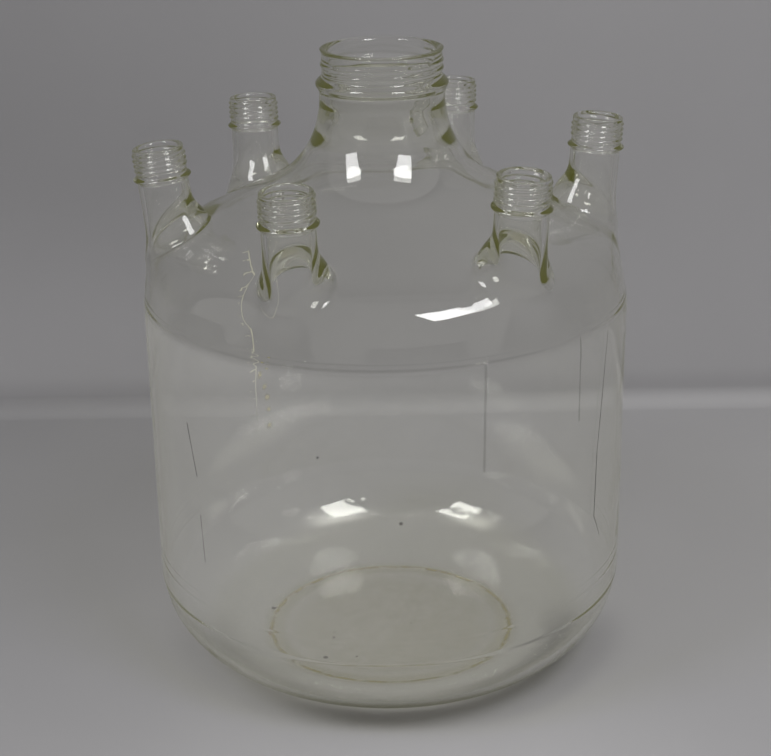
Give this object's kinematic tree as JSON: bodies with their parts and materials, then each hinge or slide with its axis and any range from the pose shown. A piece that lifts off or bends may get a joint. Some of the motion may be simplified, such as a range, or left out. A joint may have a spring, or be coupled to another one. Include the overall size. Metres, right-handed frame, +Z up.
{
  "type": "bench bioreactor glass vessel",
  "caption": "Flat-footed clear glass culture vessel with rounded heel, sloping shoulder, wide flared screw neck and a ring of upright screw ports.",
  "frame": {"origin": "centre of the foot's underside, on the surface that the vessel stands on", "axes": "+Z up along the centre neck; +X to the right and -Y towards the viewer who sees the two front ports"},
  "size_m": [0.4055, 0.4048, 0.5285],
  "materials": {
    "glass": "clear fire-polished borosilicate glass with a faint olive cast where it is thick"
  },
  "bodies": {
    "root": {"vessel": "glass"}
  },
  "joints": []
}
